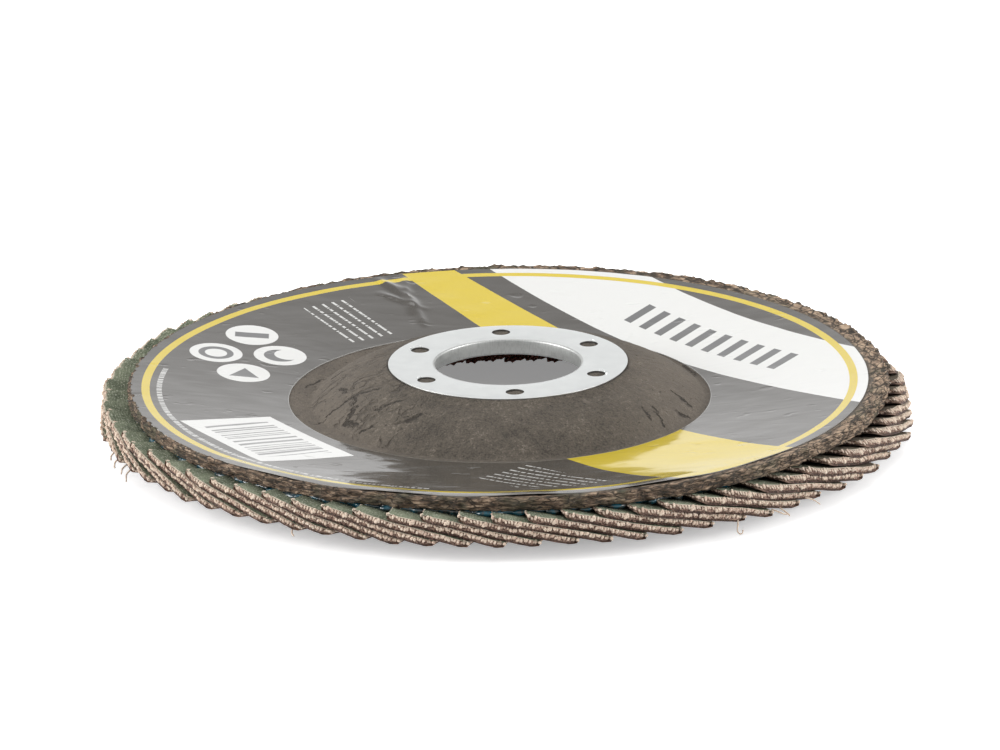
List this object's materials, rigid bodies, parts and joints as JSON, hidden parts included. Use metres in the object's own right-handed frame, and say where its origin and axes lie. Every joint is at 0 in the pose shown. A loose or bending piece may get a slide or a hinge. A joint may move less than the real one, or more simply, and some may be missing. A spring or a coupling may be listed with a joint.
{
  "type": "flap disc",
  "caption": "Conical abrasive flap disc for an angle grinder: overlapping cloth flaps bonded under a pressed laminate backing plate with a raised hub and a steel bore ring.",
  "frame": {"origin": "on the bore's axis, in the plane that the flaps' lowest corners rest on", "axes": "+Z along the bore's axis towards the grinder, from the working side to the bore ring's face; +X to the right and +Y away as the picture shows the disc"},
  "size_m": [0.1244, 0.1244, 0.0115],
  "materials": {
    "laminate": "rough moulded glass-cloth laminate",
    "plated_steel": "zinc plated",
    "printed_film": "glossy printed film",
    "cured_resin": "cured adhesive",
    "abrasive_cloth": "woven backing with a bonded grain coat"
  },
  "bodies": {
    "root": {"backing_plate": "laminate", "bore_ring": "plated_steel", "label": "printed_film", "adhesive_bed": "cured_resin", "flaps_01": "abrasive_cloth", "flaps_02": "abrasive_cloth", "flaps_03": "abrasive_cloth", "flaps_04": "abrasive_cloth", "flaps_05": "abrasive_cloth", "flaps_06": "abrasive_cloth", "flaps_07": "abrasive_cloth", "flaps_08": "abrasive_cloth", "flaps_09": "abrasive_cloth", "flaps_10": "abrasive_cloth", "flaps_11": "abrasive_cloth", "flaps_12": "abrasive_cloth", "flaps_13": "abrasive_cloth", "flaps_14": "abrasive_cloth", "flaps_15": "abrasive_cloth", "flaps_16": "abrasive_cloth", "flaps_17": "abrasive_cloth", "flaps_18": "abrasive_cloth", "flaps_19": "abrasive_cloth", "flaps_20": "abrasive_cloth", "flaps_21": "abrasive_cloth", "flaps_22": "abrasive_cloth", "flaps_23": "abrasive_cloth", "flaps_24": "abrasive_cloth", "flaps_25": "abrasive_cloth", "flaps_26": "abrasive_cloth", "flaps_27": "abrasive_cloth", "flaps_28": "abrasive_cloth", "flaps_29": "abrasive_cloth", "flaps_30": "abrasive_cloth", "flaps_31": "abrasive_cloth", "flaps_32": "abrasive_cloth", "flaps_33": "abrasive_cloth", "flaps_34": "abrasive_cloth", "flaps_35": "abrasive_cloth", "flaps_36": "abrasive_cloth"}
  },
  "joints": []
}
